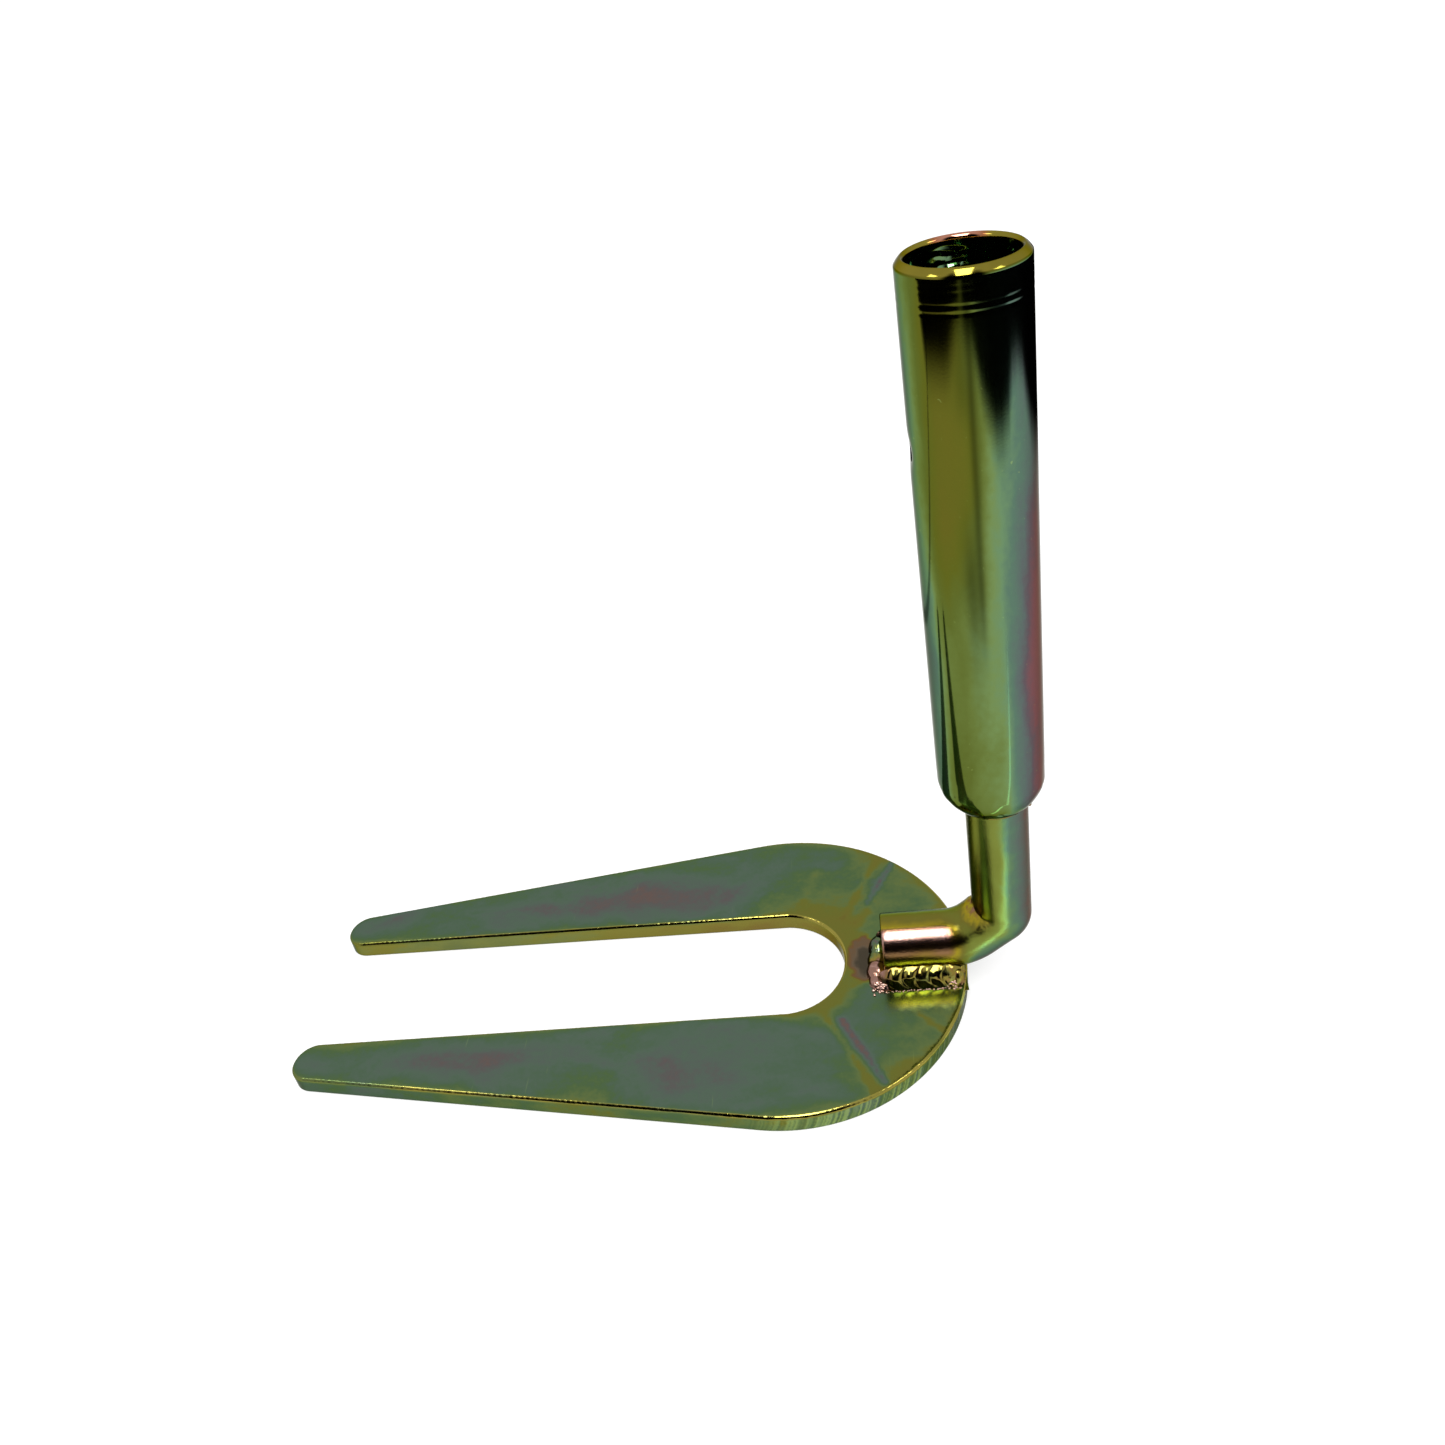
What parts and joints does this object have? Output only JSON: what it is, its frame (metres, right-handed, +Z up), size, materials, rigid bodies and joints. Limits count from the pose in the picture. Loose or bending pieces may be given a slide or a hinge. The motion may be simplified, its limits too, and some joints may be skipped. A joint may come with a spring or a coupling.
{
  "type": "stirrup hoe head",
  "caption": "Flat steel fork hoe head with two tapering round-tipped tines, a bent round-bar neck and an upright tube socket for a wooden handle.",
  "frame": {"origin": "centre of the head's footprint, on the plane of the blade's underside", "axes": "+Z up, away from the blade's underside; -X along the tines towards their tips; +X towards the heel and the handle socket"},
  "size_m": [0.2386, 0.1154, 0.2246],
  "materials": {
    "plated_plate": "laser-cut mild steel plate under yellow chromate zinc, muted green with olive edges and faint purple clouds",
    "plated_bar": "drawn round bar under yellow chromate zinc, olive and green with copper-pink glints",
    "plated_tube": "smooth steel tube under yellow chromate zinc, olive-gold turning green, teal and mauve round its side",
    "plated_weld": "rippled weld metal under yellow chromate zinc, dark troughs and bright yellow-white crests"
  },
  "bodies": {
    "root": {"fork_blade": "plated_plate", "neck_bar": "plated_bar", "socket_tube": "plated_tube", "socket_base_weld": "plated_tube", "near_side_weld": "plated_weld", "far_side_weld": "plated_weld", "front_end_weld": "plated_weld", "heel_edge_weld": "plated_weld"}
  },
  "joints": []
}
